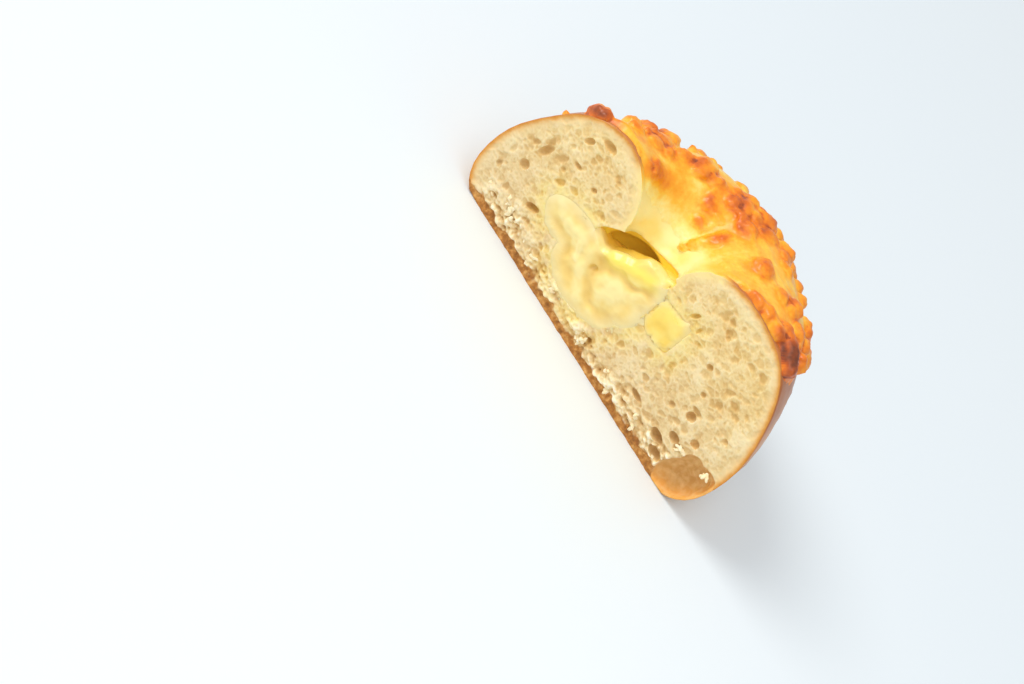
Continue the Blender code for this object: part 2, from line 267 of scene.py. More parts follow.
def dense_knife():
    columns, rows = (int(2 * half / GRID) for half in KNIFE_HALF)
    bm = bmesh.new()
    bmesh.ops.create_grid(bm, x_segments=columns, y_segments=rows, size=1.0)
    bmesh.ops.scale(bm, vec=(KNIFE_HALF[0] * MM, KNIFE_HALF[1] * MM, 1.0), verts=bm.verts)
    bmesh.ops.rotate(bm, matrix=Matrix.Rotation(-math.pi / 2, 3, "X"), verts=bm.verts)
    bmesh.ops.translate(bm, vec=off_ruler([0.0, SHAVE, KNIFE_MIDDLE]), verts=bm.verts)
    rim = [edge for edge in bm.edges if edge.is_boundary]
    back = bmesh.ops.extrude_edge_only(bm, edges=rim)["geom"]
    moved = [item for item in back if isinstance(item, bmesh.types.BMVert)]
    bmesh.ops.translate(bm, vec=(0.0, -KNIFE_DEEP * MM, 0.0), verts=moved)
    bmesh.ops.holes_fill(bm, edges=[edge for edge in bm.edges if edge.is_boundary])
    bmesh.ops.recalc_face_normals(bm, faces=bm.faces)
    return new_piece("dense_knife", bm)


def sliced_bread():
    bm = merged_copy("bread")
    face_y = CUT_Y * MM + 1e-6
    inside = {v for v in bm.verts if v.co.y > face_y and crust.find_nearest(v.co)[3] > 0.3 * MM}
    walls = [edge for edge in bm.edges
             if edge.calc_length() > LONG_IN_HOLES * MM and any(v in inside for v in edge.verts)]
    skin = [edge for edge in bm.edges if edge.calc_length() > LONG_ON_SKIN * MM
            and max(v.co.y for v in edge.verts) > face_y and not any(v in inside for v in edge.verts)]
    bmesh.ops.subdivide_edges(bm, edges=walls + skin, cuts=2, use_grid_fill=True)
    bmesh.ops.triangulate(bm, faces=bm.faces)
    bread = new_piece("bread_half", bm)
    knife = dense_knife()
    slicing = bread.modifiers.new("Slice", "BOOLEAN")
    slicing.operation = "DIFFERENCE"
    slicing.solver = "MANIFOLD"
    slicing.object = knife
    apply_modifiers(bread)
    bpy.data.objects.remove(knife, do_unlink=True)
    bm = bmesh.new()
    bm.from_mesh(bread.data)
    bmesh.ops.remove_doubles(bm, verts=bm.verts, dist=SAME_POINT * MM)
    bmesh.ops.triangulate(bm, faces=[face for face in bm.faces if len(face.verts) > 4])
    flaps = {face for edge in bm.edges if edge.is_boundary for face in edge.link_faces}
    bmesh.ops.delete(bm, geom=list(flaps), context="FACES")
    bm.to_mesh(bread.data)
    bm.free()
    return bread


bread = sliced_bread()
print("bread has", len(bread.data.vertices), "points and", len(bread.data.polygons), "faces")

# %% [markdown]
# ## The pores of the crumb
# Crumb is foam: gas cells of every size, cut open. The plain pores are pressed
# into a map of depths over the cut face, each as an uneven ellipse with steep
# walls. A few hundred are drawn by a seeded generator, most of them small, and
# they lean the way the dough rose: upright in the left lobe, along the right one.

# %% Press the pores into a map
MAP_STEP = 0.1
MAP_X = np.arange(-53.0, 53.0, MAP_STEP)
MAP_Z = np.arange(-2.0, 53.0, MAP_STEP)
PORE_WALL = 0.35                         # how much of a pore's radius its slanting wall takes up
LEFT_LOBE = -25.0                        # pores stand upright to the left of this
pores = np.zeros((len(MAP_Z), len(MAP_X)))
rng = np.random.default_rng(7)


def press(x, z, half_wide, half_high, turn, deep):
    """Press one uneven ellipse into the map, keeping whatever is deeper."""
    reach = 1.3 * max(half_wide, half_high)
    columns = slice(*np.searchsorted(MAP_X, [x - reach, x + reach]))
    rows = slice(*np.searchsorted(MAP_Z, [z - reach, z + reach]))
    dx, dz = np.meshgrid(MAP_X[columns] - x, MAP_Z[rows] - z)
    along = (dx * math.cos(turn) + dz * math.sin(turn)) / half_wide
    across = (-dx * math.sin(turn) + dz * math.cos(turn)) / half_high
    angle = np.arctan2(across, along)
    wobble = 1 + 0.1 * np.sin(3 * angle + x * 7) + 0.06 * np.sin(5 * angle + z * 5)
    bowl = deep * smooth_step(1.05 - np.hypot(along, across) / wobble, 0.0, PORE_WALL)
    pores[rows, columns] = np.maximum(pores[rows, columns], bowl)


def scatter_pores(count, smallest, largest, deepest):
    sizes = smallest * (largest / smallest) ** (rng.random(count) ** 2.2)
    for size in sizes:
        x, z = rng.uniform(-50, 50), rng.uniform(1.0, 50.0)
        stretch = rng.uniform(1.0, 1.9)
        lean = rng.normal(0.0, 0.5) + (1.2 if x < LEFT_LOBE else -0.25)
        press(x, z, size * stretch ** 0.5, size / stretch ** 0.5, lean,
              deepest * rng.uniform(0.5, 1.0) * size / largest)


scatter_pores(420, 0.6, 1.4, 0.95)
print("pores cover", round(float((pores > 0.15).mean()), 2), "of the map")

# %% [markdown]
# ## Shaping the cut face
# The points on the cut are pushed in by the map and by two sizes of foam cells.
# Reading both a little beside each point, by noise, turns ellipses and polygons
# into the irregular cells of real crumb. Near the foot the knife pulled the crumb
# out in tufts. The relief fades out at the crust so that the outline stays clean,
# and the side bubble is one smooth bowl instead.

# %% Read the map and the foam
def look_up(depths, x, z):
    """Values of a map between its points."""
    column = np.clip((x - MAP_X[0]) / MAP_STEP, 0, len(MAP_X) - 2)
    row = np.clip((z - MAP_Z[0]) / MAP_STEP, 0, len(MAP_Z) - 2)
    i, j = row.astype(int), column.astype(int)
    f, g = row - i, column - j
    top = depths[i, j] * (1 - g) + depths[i, j + 1] * g
    bottom = depths[i + 1, j] * (1 - g) + depths[i + 1, j + 1] * g
    return top * (1 - f) + bottom * f


def foam(places, size, seed):
    """For each point, how far it is from its cell's wall in mm, and a number its cell has to itself."""
    shift = Vector((seed, 0.0, -seed))
    walls, own = [], []
    for place in places:
        distances, centres = noise.voronoi(Vector(place) / size + shift)
        walls.append((distances[1] - distances[0]) * size)
        own.append(math.sin(centres[0].x * 12.99 + centres[0].z * 78.23) * 4375.85 % 1.0)
    return np.array(walls), np.array(own)


tried_walls, _ = foam(np.linspace(0.0, 40.0, 300).reshape(-1, 3), 2.0, 5.0)
print("in 2 mm foam the walls are up to", round(float(tried_walls.max()), 2), "mm away")

# %% Side bubble, flat cheese and rims of holes
BUBBLE = ((43.2, 7.4), (8.6, 5.5), 0.98, 4.5)   # middle, half sizes, lean and depth of the side bubble
BESIDE_SLIT = (6.0, 0.0, 33.0)           # cheese stayed pale and wet here


def base_toast(points):
    """How toasted flat cheese is at a point: pale in the dimple, more towards its rim."""
    radius = np.hypot(points[:, 0] - DIMPLE_X, points[:, 1])
    rim = np.maximum(smooth_step(points[:, 2], 34.0, 46.0), smooth_step(radius, 19.0, 26.0))
    rim *= smooth_step(radius, 9.0, 15.0)
    fresh = smooth_step(10.0 - np.linalg.norm(points - np.array(BESIDE_SLIT), axis=1), 0.0, 6.0)
    toast = 0.08 + 0.24 * rim * (1 - fresh)
    return toast + 0.16 * grain(points, 7.0, 2, 4.0) + 0.03 * grain(points, 1.6, 2, 6.0)


def bubble_bowl(x, z):
    """Depth of the side bubble, which opens wide between the foot and the shoulder."""
    (middle_x, middle_z), (half_long, half_short), turn, deep = BUBBLE
    along = ((x - middle_x) * math.cos(turn) + (z - middle_z) * math.sin(turn)) / half_long
    across = (-(x - middle_x) * math.sin(turn) + (z - middle_z) * math.cos(turn)) / half_short
    uneven = 1 + 0.1 * grain(np.column_stack((x, 0 * x, z)), 2.0, 3, 17.0)
    return deep * uneven * np.sqrt(np.clip(1 - along ** 2 - across ** 2, 0.0, 1.0))


def hole_lips(mesh, depth):
    """Points on and beside the sharp rims of holes in the crumb, but not on the crust's edge."""
    bm = bmesh.new()
    bm.from_mesh(mesh)
    lips = {vert for edge in bm.edges if edge.calc_face_angle(0.0) > SHARP for vert in edge.verts
            if depth[vert.index] > 1.2}
    beside = {edge.other_vert(vert) for vert in lips for edge in vert.link_edges}
    chosen = sorted(vert.index for vert in lips | beside if depth[vert.index] > 1.0)
    bm.free()
    return chosen


bubble_middle = np.array(BUBBLE[0])[:, None]
print("side bubble is", round(float(bubble_bowl(*bubble_middle)[0]), 1), "mm deep at its middle")

# %% Shape the crumb
TORN_TOP = 9.5                           # height up to which the knife tore the crumb, give or take
TUFT_OUT, TUFT_IN = 0.9, -1.6            # how far torn crumb stands out of the cut or is missing from it
FULL_RELIEF = 1.6                        # depth under the crust where pores have their full size
# painted shade: the small cells' depth that is not pushed in shows as darker colour instead
CELL_RELIEF = 0.45                       # share of the small cells' depth that is shape, the rest is tint


def shape_bread(bread):
    mesh = bread.data
    metres = read(mesh, "co")
    normals = read(mesh, "normal")
    points = on_ruler(metres)
    depth = distance_to(crust, metres)
    near_cheese = distance_to(cheese, metres)
    on_cut = points[:, 1] < SHAVE + 0.005
    cut = np.flatnonzero(on_cut)
    place = points[cut]

    # pores and cells, smaller and shallower under the crust and beside the cheese
    x = place[:, 0] + 0.12 * grain(place, 1.8, 2, 3.0)
    z = place[:, 2] + 0.12 * grain(place, 1.8, 2, 9.0)
    grown = 0.4 + 0.6 * smooth_step(depth[cut], 0.5, 7.0) * smooth_step(near_cheese[cut], 0.0, 3.0)
    drift_x = x + 0.5 * grain(place, 4.0, 2, 41.0)
    drift_z = z + 0.5 * grain(place, 4.0, 2, 42.0)
    drift = np.column_stack((drift_x, 0 * x, drift_z))
    wall, own = foam(drift * np.array([0.85, 1.0, 1.1]), 2.0, 5.0)
    cells = smooth_step(wall, 0.05, 0.6) * (0.08 + 0.5 * own ** 1.5)
    wall, own = foam(drift, 0.95, 15.0)
    cells += smooth_step(wall, 0.05, 0.4) * (0.1 + 0.22 * own)
    pressed = look_up(pores, x, z)
    pit = np.maximum(pressed, cells) * grown
    sunk = np.maximum(pressed, CELL_RELIEF * cells) * grown

    # torn tufts over the foot, the ragged edge of the foot itself, and the webs between the cells
    torn_top = TORN_TOP + 7.0 * grain(place, 8.0, 3, 31.0)
    torn = smooth_step(torn_top - place[:, 2], -1.0, 5.5)
    torn *= smooth_step(48.0 - np.abs(place[:, 0]), 3.0, 10.0)
    strands = 1.6 * grain(place * np.array([0.55, 1.0, 1.1]), 2.2, 4, 33.0)
    strands += 0.8 * grain(place, 0.8, 3, 34.0)
    tuft = torn * np.clip(strands, TUFT_IN, TUFT_OUT)
    web = 0.08 * grain(place, 0.9, 3, 5.0) + 0.25 * grain(place, 5.0, 2, 6.0)
    foot = smooth_step(2.4 + 1.5 * grain(place, 3.0, 3, 8.0) - place[:, 2], -0.3, 0.4)
    rough_foot = 0.35 * grain(place, 1.0, 3, 4.0)
    low = smooth_step(place[:, 2], 3.4, 0.4)
    ragged = 0.8 * low * grain(place * np.array([1.0, 1.0, 0.4]), 3.0, 3, 12.0)

    push = sunk - tuft * (1 - foot) + web + foot * (0.35 + rough_foot) + ragged
    fade = smooth_step(depth[cut], 0.0, FULL_RELIEF)
    free = smooth_step(near_cheese[cut], 0.2, 0.9)
    push *= (0.25 + 0.75 * fade) * (0.3 + 0.7 * free)
    bowl = bubble_bowl(place[:, 0], place[:, 2])
    shell = smooth_step(bowl, 0.2, 1.2)
    points[cut, 1] += push * (1 - shell) + bowl * smooth_step(depth[cut], 0.35, 1.5)
    points[cut, 0] += 0.07 * fade * grain(place, 0.4, 1, 1.0)
    points[cut, 2] += 0.07 * fade * grain(place, 0.4, 1, 2.0)

    # walls of the holes, and the skin outside
    walls = np.flatnonzero(~on_cut & (depth > 0.3))
    points[walls] += normals[walls] * (0.16 * grain(points[walls], 1.3, 3, 13.0))[:, None]
    bubble = walls[(points[walls, 0] > 36.0) & (points[walls, 2] < 16.0)]
    points[bubble, 1] = np.maximum(points[bubble, 1], bubble_bowl(points[bubble, 0], points[bubble, 2]))

    skin = np.flatnonzero(~on_cut & (depth < 0.03))
    soft = 0.12 * grain(points[skin], 3.0, 3, 2.0)
    rise = smooth_step(points[skin, 2], 0.2, 3.0)
    points[skin] += normals[skin] * (soft * rise)[:, None]
    write_points(mesh, off_ruler(points))
    soften(mesh, 3, hole_lips(mesh, depth))
    points = on_ruler(read(mesh, "co"))

    # what the material needs to know
    radius = np.hypot(points[:, 0] - DIMPLE_X, points[:, 1])
    full_pit = np.zeros(len(points))
    # painted shade and light: deeper pits and webs darker, standing tufts paler, the gaps between tufts
    # darker
    full_pit[cut] = 0.9 * pit - 0.8 * tuft + web - 0.25
    # painted shade: hole walls darker the deeper they go
    full_pit[walls] = 0.1 + 0.35 * np.clip(points[walls, 1], 0.0, 2.0)
    hollow = np.zeros(len(points))
    hollow[cut] = shell
    hollow[bubble] = 1.0
    brown_foot = smooth_step(1.0 + 0.7 * grain(points, 3.0, 2, 8.0) - points[:, 2], -0.6, 0.6)
    brown_foot[cut] = foot * (1 - shell)
    bowl_skin = smooth_step(19.0 - radius, 0.0, 4.0) * smooth_step(points[:, 2], 24.0, 30.0)
    hidden = ~on_cut & (depth > 0.3) & (points[:, 2] > 18) & (points[:, 0] > -20)
    paint(mesh, crust_depth=depth, pit=full_pit, near_cheese=near_cheese, level=points[:, 2],
          foot=brown_foot, bowl=bowl_skin, toast=np.clip(base_toast(points), 0.0, 1.0),
          pocket=hidden * smooth_step(radius, 21.0, 16.0), inward=points[:, 1], shell=hollow)
    mesh.shade_smooth()
    print("deepest pore", round(float(pit.max()), 2), "mm")


shape_bread(bread)

# %% [markdown]
# ## Toasted cheese
# Grated cheese melts into one sheet, and where it is thick it blisters and
# browns. The solid has the sheet and its large lumps. Flat balls are added on its
# upper side: named ones for the pieces that kept their form, a row of them for the
# ridge across the dimple, and drawn ones for small blisters. One new skin over
# everything fuses them, with the soft creases that a Boolean would leave sharp.

# %% Places of the lumps
RIDGE = [                                # balls of the ridge across the dimple, from its foot upwards
    (-4.6, 9.0, 36.6), (-4.1, 9.5, 38.0), (-3.6, 9.9, 39.2), (-3.0, 10.4, 40.4), (-2.4, 10.9, 41.5),
    (-1.8, 11.4, 42.6), (-1.2, 11.9, 43.6), (-0.6, 12.5, 44.6)]
NUGGETS = [                              # (radius, place), large pieces of cheese that kept their form
    (2.9, (-3.8, 24.6, 48.9)), (2.4, (-6.6, 22.2, 48.0)), (2.3, (-0.9, 25.8, 49.2)),
    (1.9, (-2.0, 21.6, 49.0)), (1.9, (-9.0, 16.9, 45.2)), (1.5, (-10.4, 18.6, 46.0)),
    (1.6, (-7.1, 14.0, 42.0)), (2.3, (-0.5, 18.9, 49.4)), (1.5, (3.2, 23.6, 49.8)),
    (1.9, (-39.6, 1.4, 43.6)), (2.3, (11.3, 26.9, 49.3)), (2.7, (-17.2, 19.6, 48.0)),
    (1.9, (-14.6, 21.0, 48.2)), (2.6, (-28.2, 12.5, 44.7)), (1.8, (-24.7, 14.0, 45.5)),
    (2.0, (23.1, 13.0, 50.8)), (2.2, (18.7, 12.6, 52.1)), (2.0, (27.4, 4.6, 51.8)),
    (2.2, (31.0, 9.0, 50.3)), (1.7, (-22.6, 6.2, 44.6))]
BLISTERS = ((64, 1.3, 2.5, 0.55), (110, 0.5, 1.0, 0.35))   # how many, least and largest radius, how deep
TOPPING_VOXEL = 0.4                      # size of the new skin's faces, in mm
NUGGET_RISE, CHIP_RISE, RIDGE_RISE = 1.35, 1.5, 1.2   # middles of the balls over the dough
print(len(NUGGETS), "named nuggets and", sum(row[0] for row in BLISTERS), "drawn blisters")

# %% Find the bare crust
def bare_crust():
    """Tree of the crust's points that have no topping over them."""
    over = solid_tree("cheese_topping")
    mesh = bread.data
    places, normals = read(mesh, "co"), read(mesh, "normal")
    uncovered = []
    for place, normal in zip(places, normals):
        if place[2] < 20 * MM or crust.find_nearest(Vector(place))[3] > 0.3 * MM or normal[1] < -0.9:
            continue
        if over.ray_cast(Vector(place), Vector(normal), 4 * MM)[0] is None:
            uncovered.append(place)
    tree = KDTree(len(uncovered))
    for index, place in enumerate(uncovered):
        tree.insert(place, index)
    tree.balance()
    print("crust left bare at", len(uncovered), "points")
    return tree


bare = bare_crust()

# %% Blister the topping
def blister(bm, place, normal, size, flat):
    made = bmesh.ops.create_icosphere(bm, subdivisions=2, radius=size)["verts"]
    bmesh.ops.scale(bm, vec=(1.0, 1.0, flat), verts=made)
    turn = normal.to_track_quat("Z", "Y").to_matrix()
    bmesh.ops.rotate(bm, matrix=turn, verts=made)
    bmesh.ops.translate(bm, vec=place, verts=made)


def blistered_topping():
    bm = merged_copy("cheese_topping")
    bm.normal_update()
    upper = []                           # faces of the upper side, the place below each, its height
    for face in bm.faces:
        centre = face.calc_center_median()
        below, _, _, distance = dough.find_nearest(centre)
        if face.normal.dot((centre - below).normalized()) > 0.2:
            upper.append((face, below, distance / MM))
    height = np.array([entry[2] for entry in upper])
    inland = np.array([bare.find(entry[1])[2] for entry in upper]) / MM
    lumpy = (0.12 + smooth_step(height, 1.45, 2.2)) * ((inland > 3.0) | (height > 2.0))
    weights = np.array([entry[0].calc_area() for entry in upper]) * lumpy
    spots = []
    for count, smallest, largest, sunk in BLISTERS:
        for index in rng.choice(len(upper), size=count, p=weights / weights.sum()):
            face = upper[index][0]
            size = rng.uniform(smallest, largest) * MM
            mix = rng.dirichlet((1, 1, 1))
            place = sum((vert.co * share for vert, share in zip(face.verts, mix)), Vector())
            spots.append((place - face.normal * size * sunk, face.normal.copy(), size))
    for place, normal, size in spots:
        blister(bm, place, normal, size, rng.uniform(0.5, 0.75))
    for size, spot in NUGGETS:
        nearest, normal, _, _ = dough.find_nearest(Vector(off_ruler(spot)))
        blister(bm, nearest + normal * NUGGET_RISE * MM, normal, size * MM, rng.uniform(0.5, 0.62))
        for _ in range(3):
            aside = Vector(rng.normal(0.0, 0.5 * size, 3)) * MM
            flat = nearest + aside - normal * aside.dot(normal)
            blister(bm, flat + normal * CHIP_RISE * MM, normal, size * rng.uniform(0.3, 0.5) * MM, 0.8)
    for number, spot in enumerate(RIDGE):
        nearest, normal, _, _ = dough.find_nearest(Vector(off_ruler(spot)))
        size = (0.9 + 0.12 * number) * rng.uniform(0.9, 1.1) * MM
        aside = Vector(rng.normal(0.0, 0.3, 3)) * MM
        blister(bm, nearest + aside + normal * RIDGE_RISE * MM, normal, size, 0.62)
    return remeshed("toasted_cheese", bm, TOPPING_VOXEL, 2)


topping = blistered_topping()
print("topping has", len(topping.data.polygons), "faces")

# %% [markdown]
# ## How toasted each point is
# Browning follows height: what stands nearest the oven's heat browns first, and
# the hollow stays pale. So toast is worked out from the height above the dough,
# from the distance to the dimple, from the creases between lumps, where fat
# gathers and fries, and from noise. A few named spots caught more heat.

# %% Lay the cheese on the dough
GAP, SUNK = 0.5, -0.25                   # underside over the dough in mm, as built and as laid
SHEET_TOP, LAID_TOP = 1.4, 0.95          # the sheet's top, as built and as laid; lumps start there
LUMP_KEEP = 0.95                         # how much of a lump's height is kept, as blisters add to it


def laid_on_dough(metres, points):
    """The topping brought down on the crust, with a border that thins out; its heights too."""
    found = [dough.find_nearest(Vector(p)) for p in metres]
    foot = on_ruler(np.array([hit[0] for hit in found]))
    over = np.einsum("ij,ij->i", points - foot, np.array([hit[1] for hit in found]))
    height = np.array([hit[3] for hit in found]) / MM * np.where(over < 0, -1.0, 1.0)
    inland = smooth_step(np.array([bare.find(hit[0])[2] for hit in found]) / MM, 0.4, 3.0)
    inland = np.maximum(inland, smooth_step(height, SHEET_TOP, SHEET_TOP + 0.8))
    steep = (LAID_TOP - SUNK) / (SHEET_TOP - GAP)
    lowered = np.where(height < SHEET_TOP, SUNK + (height - GAP) * steep,
                       LAID_TOP + (height - SHEET_TOP) * LUMP_KEEP)
    lowered = SUNK + (lowered - SUNK) * inland - 0.2 * (1 - inland)
    away = (points - foot) / np.where(np.abs(height) < 1e-3, 1e-3, height)[:, None]
    laid = foot + away * lowered[:, None]
    laid[:, 1] = np.maximum(laid[:, 1], 0.4 * (1 - inland))
    return laid, height


print("the sheet comes down by", GAP - SUNK, "mm, and lumps keep", LUMP_KEEP, "of their height")

# %% Toast the topping
HOT = [                                  # (reach, extra toast, path over the topping)
    (2.6, 0.1, [(-5.2, 8.6, 35.2), (-3.0, 10.2, 40.0), (-0.3, 12.8, 45.2)]),
    (5.5, 0.16, [(-8.7, 18.4, 45.8), (-7.3, 23.5, 48.3), (-1.1, 19.0, 48.8), (3.0, 23.5, 49.6)]),
    (2.5, 0.1, [(-7.4, 14.6, 42.6), (-6.6, 13.6, 42.0)]),
    (5.0, 0.12, [(-31.5, 6.2, 45.8), (-30.0, 13.0, 44.4), (-25.6, 14.4, 45.2)]),
    (4.0, 0.2, [(-22.5, 4.0, 44.9), (-19.3, 9.3, 43.7)]),
    (4.0, 0.12, [(-18.5, 18.9, 47.0), (-15.7, 20.1, 47.5)]),
    (4.0, 0.06, [(8.8, 10.4, 50.7), (11.1, 10.7, 52.0)]),
    (1.7, 0.3, [(8.5, 0.0, 48.6), (12.5, 0.0, 49.8)]),
    (3.2, 0.16, [(15.4, 0.9, 51.4), (21.0, 1.5, 52.4)]),
    (3.8, 0.34, [(26.5, 0.6, 52.2), (31.5, 2.0, 50.0)]),
    (4.5, 0.2, [(31.2, 4.1, 52.2), (33.5, 6.0, 48.0)]),
    (4.0, 0.3, [(35.5, 1.5, 47.0), (37.4, 6.5, 44.2)]),
    (4.0, 0.12, [(24.8, 13.6, 51.5), (20.2, 18.8, 50.3)]),
    (4.0, 0.34, [(-44.5, 0.5, 37.0), (-40.3, 0.5, 41.7), (-37.0, 1.0, 45.0)]),
    (6.0, 0.1, [(-34.0, 27.0, 36.0), (-22.0, 34.0, 38.0)]),
    (6.0, 0.1, [(12.0, 33.0, 42.0), (28.0, 26.0, 42.0)])]


def hollows(mesh, rounds):
    """How far each point lies below its smoothed surroundings, in mm."""
    bm = bmesh.new()
    bm.from_mesh(mesh)
    relax(bm, bm.verts, rounds)
    smooth = np.array([vert.co for vert in bm.verts])
    bm.free()
    return np.einsum("ij,ij->i", smooth - read(mesh, "co"), read(mesh, "normal")) / MM


def toast_topping(piece):
    mesh = piece.data
    metres = read(mesh, "co")
    points = on_ruler(metres)
    normals = read(mesh, "normal")
    points, height = laid_on_dough(metres, points)
    bubbles = np.array([1 - noise.voronoi(Vector(p) / 1.3)[0][0] for p in points])
    raised = smooth_step(height, 1.3, 2.4)
    relief = raised * (0.16 * (bubbles - 0.5) + 0.26 * grain(points, 2.2, 3, 2.5))
    relief += 0.07 * grain(points, 2.4, 3, 1.5)
    upper = smooth_step(height, 0.2, 0.9)
    front = smooth_step(points[:, 1], -0.6, 0.6)
    points += normals * (relief * upper * (0.4 + 0.6 * front))[:, None]
    write_points(mesh, off_ruler(points))
    crease = hollows(mesh, 22)

    toast = base_toast(points) + 0.18 * smooth_step(height, 1.4, 2.2) + 0.2 * smooth_step(height, 2.4, 4.2)
    toast += 0.24 * smooth_step(crease, -0.02, 0.16) * smooth_step(height, 1.0, 1.7)
    toast += 0.22 * grain(points, 4.5, 2, 8.0) * raised
    for reach, extra, path in HOT:
        toast += extra * smooth_step(reach - distance_to_path(points, path), 0.0, reach * 0.7)
    paint(mesh, toast=np.clip(toast, 0.0, 1.0))
    mesh.shade_smooth()
    print("toast is", round(float(toast.mean()), 2), "on average")


toast_topping(topping)

# %% [markdown]
# ## Melted filling
# Processed cheese that melts in a closed pocket sets as one smooth mass with
# soft dents, and at the slit it sags in bands. Its solid and rows of balls along
# those bands are skinned anew with small even quads, and swollen until they reach
# just into the bread's wall, so no gap shows round them. On the cut the mass gets
# shallow folds and a pit, and its border smears thinly over the crumb.

# %% Smear cheese over the crumb
FILLING_SWELL = 0.95                     # over the 0.3 mm gap of the solids and under the crumb
FILLING_SMEAR = (0.5, 3.0)               # least and most that it smears over the crumb's face
DICE_SMEAR = (0.4, 2.4)
FRONT = 1.2                              # how far in from the cut cheese counts as cut


def spill(points, metres, least, most):
    """How cheese at the cut smears outwards over the crumb: a sideways shift, and how far past the wall."""
    found = [dough.find_nearest(Vector(p)) for p in metres]
    wall = on_ruler(np.array([hit[0] for hit in found]))
    gap = np.array([hit[3] for hit in found]) / MM
    outward = (wall - points) / np.maximum(gap, 0.05)[:, None]
    outward[:, 1] = 0.0
    uneven = 0.5 + 0.9 * grain(points * np.array([1.0, 0.3, 1.0]), 4.0, 3, 61.0)
    uneven += 1.3 * grain(points * np.array([1.0, 0.3, 1.0]), 1.7, 3, 62.0)
    reach = least + (most - least) * np.clip(uneven, 0.0, 1.0)
    shift = reach * smooth_step(4.5 - gap, 0.0, 4.0)
    return outward * shift[:, None], shift - gap


def fill_hole(mesh, smear):
    """Swell a skinned cheese into its hole, and smear what lies at the cut over the crumb."""
    metres = read(mesh, "co")
    normals = read(mesh, "normal")
    points = on_ruler(metres)
    cut = smooth_step(FRONT - points[:, 1], 0.0, 0.9)
    sides = 1 - smooth_step(-normals[:, 1], 0.5, 0.95)
    aside, past = spill(points, metres, *smear)
    points += normals * (FILLING_SWELL * sides * (1 - cut))[:, None] + aside * cut[:, None]
    return points, normals, cut, past


print("cheese smears up to", max(FILLING_SMEAR[1], DICE_SMEAR[1]), "mm past its hole")

# %% Shape the filling
# painted highlight: the filling's upper ridge by the slit is painted a yellower band
PAINTED_HIGHLIGHT_RIDGE = [(-10.0, 24.5), (-3.0, 29.0), (5.0, 33.0)]
BANDS = [                                # start, middle and end as (along, inwards, up, radius)
    ((-10.4, 1.4, 23.8, 1.2), (-4.0, 1.3, 28.2, 1.8), (4.0, 1.8, 32.6, 1.1)),
    ((-10.5, 4.4, 23.6, 1.2), (-4.2, 4.8, 28.0, 1.8), (4.0, 4.0, 32.8, 1.1))]
BAND_BALLS = 22                          # to a band, so close that they melt into one
FOLDS = [                                # (half width, how far in, or out where negative, path)
    (2.8, -0.6, [(-12.0, 24.2), (-7.5, 25.4), (-3.0, 28.0), (1.0, 30.6), (4.0, 32.4)]),
    (2.2, 0.6, [(-11.0, 21.8), (-6.5, 23.0), (-2.5, 25.2), (2.0, 28.4)]),
    (5.5, -0.5, [(-5.5, 18.6), (0.5, 22.6)]),
    (2.2, 0.55, [(-10.4, 21.0), (-9.6, 16.0), (-5.0, 12.6), (1.5, 14.0)]),
    (2.4, -0.5, [(-14.5, 21.6), (-13.2, 15.0), (-7.5, 10.6)]),
    (2.6, -0.45, [(-28.5, 21.6), (-23.3, 20.6), (-16.5, 20.3)]),
    (1.8, 0.5, [(-25.5, 17.2), (-20.0, 16.6), (-17.0, 13.6)]),
    (1.3, 1.3, [(-11.4, 18.4), (-10.9, 18.5)]), (1.2, -0.5, [(-17.2, 19.0), (-15.4, 15.8)])]


def shape_filling():
    bm = merged_copy("cheese_filling")
    for start, middle, end in np.array(BANDS):
        for t in np.linspace(0.0, 1.0, BAND_BALLS):
            bend = 4 * t * (1 - t)
            along, inwards, up, size = start + (end - start) * t + (middle - (start + end) / 2) * bend
            made = bmesh.ops.create_icosphere(bm, subdivisions=3, radius=size * MM)["verts"]
            bmesh.ops.translate(bm, vec=off_ruler([along, inwards, up]), verts=made)
    piece = remeshed("melted_filling", bm, 0.34, 3)
    mesh = piece.data
    points, normals, cut, past = fill_hole(mesh, FILLING_SMEAR)
    border = smooth_step(past, -1.5, 1.6)
    thinning = -0.15 + 0.75 * border ** 2
    folds = 0.35 * grain(points * np.array([1.0, 1.0, 1.6]), 5.0, 2, 2.0)
    folds += 0.14 * grain(points, 1.9, 2, 7.0)
    wander = 0.9 * grain(points, 4.0, 2, 21.0)
    flat = np.column_stack((points[:, 0] + wander, points[:, 2] - wander))
    for width, push, path in FOLDS:
        away = distance_to_path(flat, path)
        folds += push * smooth_step(width - away, 0.0, width)
    points[:, 1] += cut * (thinning + folds * (1 - border))
    points += normals * (0.35 * grain(points, 3.2, 2, 3.0) * (1 - cut))[:, None]
    write_points(mesh, off_ruler(points))
    soften(mesh, 2)
    points = on_ruler(read(mesh, "co"))
    # painted highlight band along the ridge, on the filling only
    ridge = distance_to_path(points[:, [0, 2]], PAINTED_HIGHLIGHT_RIDGE)
    paint(mesh, rich=smooth_step(4.5 - ridge, 0.0, 4.5), border=smooth_step(past, -4.5, 1.2) * cut,
          hollow=np.clip(folds, -1.0, 1.0), inward=points[:, 1])
    mesh.shade_smooth()
    print("filling reaches", round(float(-points[:, 1].min()), 2), "mm out of the cut plane")
    return piece


filling = shape_filling()

# %% [markdown]
# ## Diced cheese
# The dice keeps its shape, because processed cheese made for baking softens
# without running. It is skinned, rounded, swollen and smeared as the filling is,
# with only a slight sag in its cut face.

# %% Shape the dice
WET_CORNER = (5.5, 0.0, 31.0)            # the dice's corner at the slit, which stayed fresh


